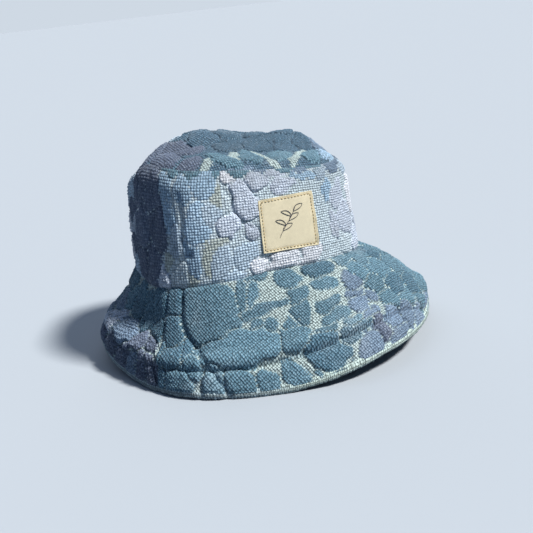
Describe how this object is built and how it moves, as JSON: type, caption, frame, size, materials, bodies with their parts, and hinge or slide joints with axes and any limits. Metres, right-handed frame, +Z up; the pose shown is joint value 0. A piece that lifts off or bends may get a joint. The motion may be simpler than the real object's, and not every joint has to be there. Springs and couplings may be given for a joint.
{
  "type": "bucket hat",
  "caption": "Soft bucket hat of sculpted terry towelling with a rounded-square crown, a deep sloping brim, a lining and a plain sewn label patch.",
  "frame": {"origin": "centre of the brim's outline, on the surface that the hat stands on", "axes": "+Z up through the crown, -Y towards the label at the front, +X towards the wearer's left"},
  "size_m": [0.2932, 0.311, 0.1745],
  "materials": {
    "terry_tip": "looped cotton terry, slate blue, matt",
    "terry_crown": "sculpted cotton terry, lavender white and blue on a pale mint ground, matt",
    "terry_brim": "sculpted cotton terry, teal blue on a pale mint ground, matt",
    "interlining": "plain woven interlining, matt",
    "terry_under": "flat woven back of the terry, pale mint, matt",
    "terry_edge": "rolled terry edge, pale mint, matt",
    "lining": "plain cotton weave, off-white, matt",
    "sweatband": "cotton twill tape, matt",
    "label": "cream cotton, matt",
    "label_thread": "ochre cotton thread, matt",
    "tag": "white ribbon, satin"
  },
  "bodies": {
    "root": {"crown_tip_outer": "terry_tip", "side_band_front_outer": "terry_crown", "side_band_rear_outer": "terry_crown", "brim_upper_front": "terry_brim", "brim_upper_rear": "terry_brim", "brim_interlining_front": "interlining", "brim_interlining_rear": "interlining", "brim_under_front": "terry_under", "brim_under_rear": "terry_under", "brim_edge_roll": "terry_edge", "lining_tip": "lining", "lining_side_front": "lining", "lining_side_rear": "lining", "sweatband": "sweatband", "label_patch": "label", "label_stitching": "label_thread", "size_tag_blank": "tag"}
  },
  "joints": []
}
